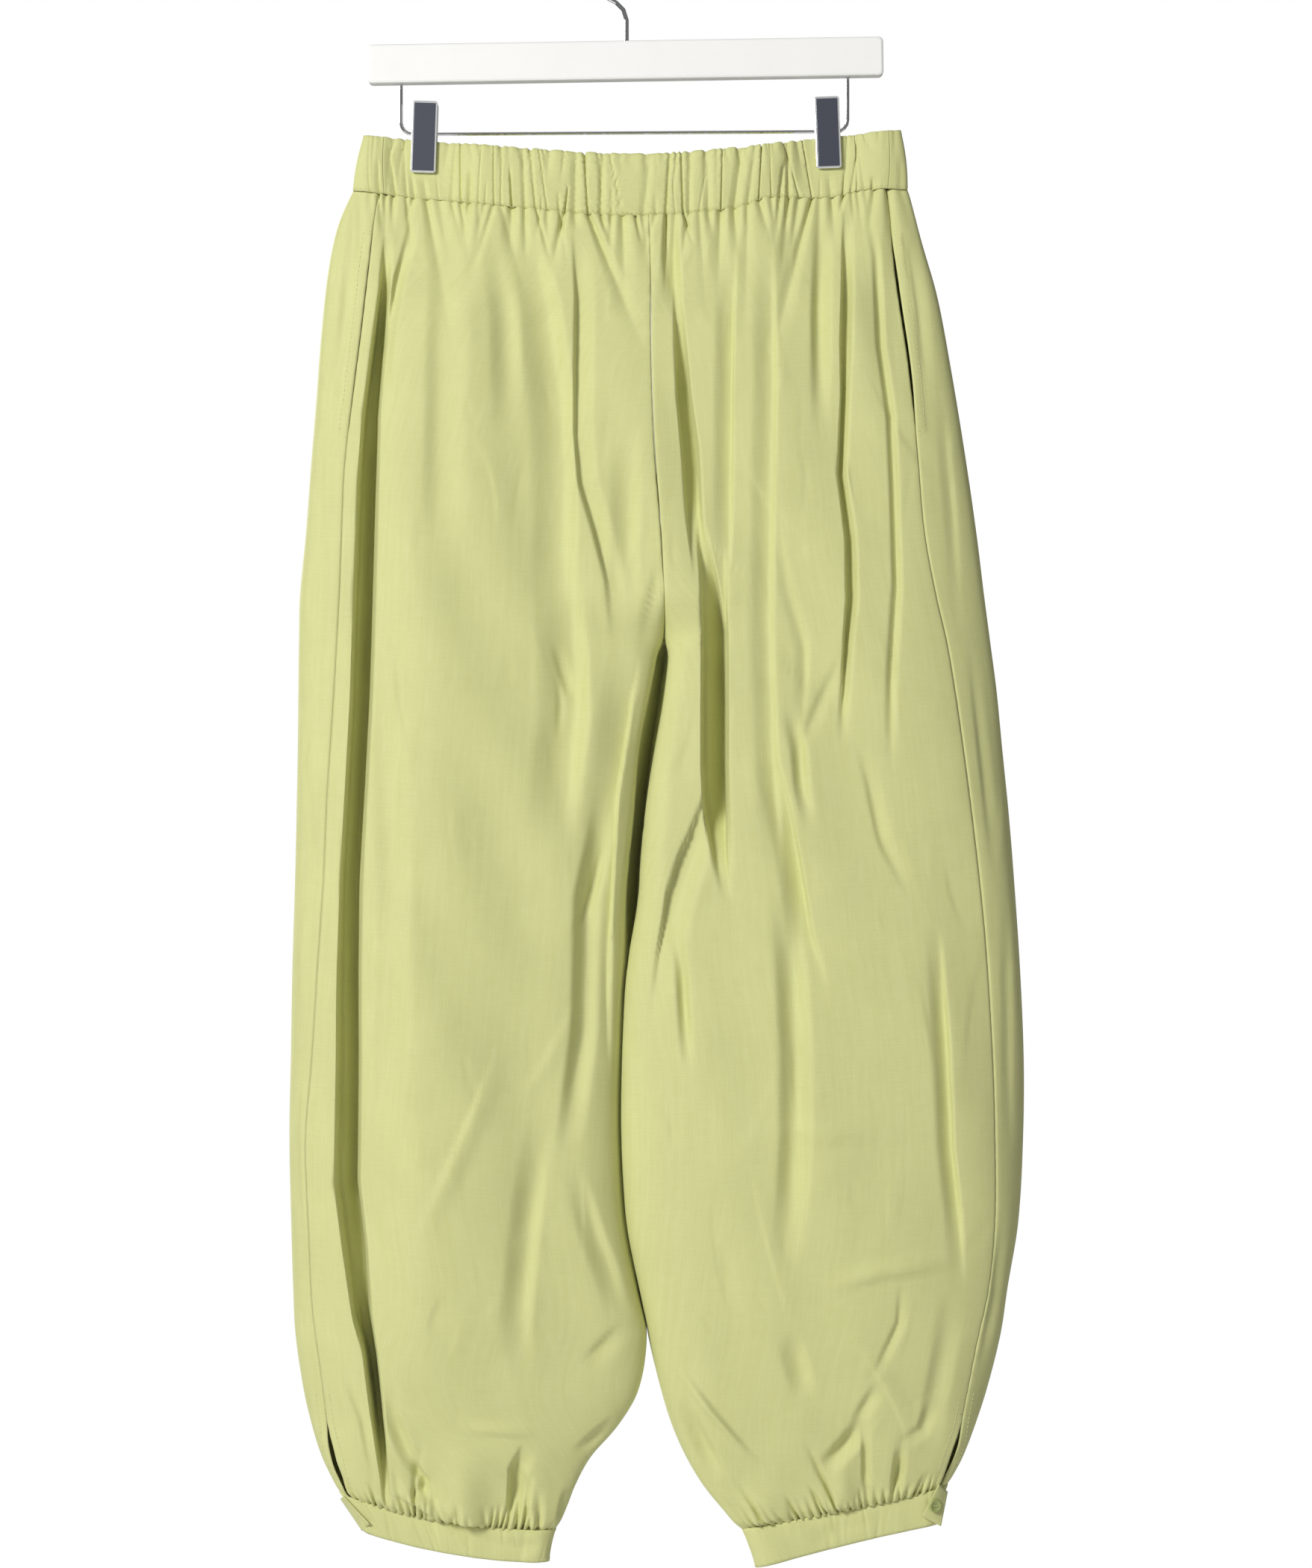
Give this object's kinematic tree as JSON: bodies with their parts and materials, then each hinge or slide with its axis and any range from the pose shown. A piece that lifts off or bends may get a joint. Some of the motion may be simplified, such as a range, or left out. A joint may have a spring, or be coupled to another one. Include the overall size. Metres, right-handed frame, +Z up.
{
  "type": "balloon trousers on a clip hanger",
  "caption": "Long balloon trousers with a gathered elastic waistband and narrow buttoned ankle cuffs, hung flat from a bar hanger by clips.",
  "frame": {"origin": "the inner top of the hook, where a rail bears", "axes": "+Z up along the height, +X to the right as seen from the shown face, the shown face towards -Y"},
  "size_m": [0.5005, 0.091, 1.1115],
  "materials": {
    "poplin": "pale pistachio cotton poplin, fine plain weave, matt with a slight sheen, softly creased",
    "painted_bar": "off-white satin paint on a plain wooden bar",
    "hanger_chrome": "bright plated wire",
    "clip_jaw": "bright plated jaw with a dark slate face set in its rim",
    "button": "glossy moulded button dyed near the cloth's colour"
  },
  "bodies": {
    "root": {"hanger_bar": "painted_bar", "hanger_hook": "hanger_chrome", "hanger_bow": "hanger_chrome", "clip_left_front_jaw": "clip_jaw", "clip_left_back_jaw": "clip_jaw", "clip_left_barrel": "clip_jaw", "clip_right_front_jaw": "clip_jaw", "clip_right_back_jaw": "clip_jaw", "clip_right_barrel": "clip_jaw", "waistband_front": "poplin", "waistband_back": "poplin", "front_leg_left": "poplin", "back_leg_left": "poplin", "pocket_edge_left": "poplin", "front_leg_right": "poplin", "back_leg_right": "poplin", "pocket_edge_right": "poplin", "cuff_left": "poplin", "cuff_right": "poplin", "button_left": "button", "button_right": "button"}
  },
  "joints": []
}
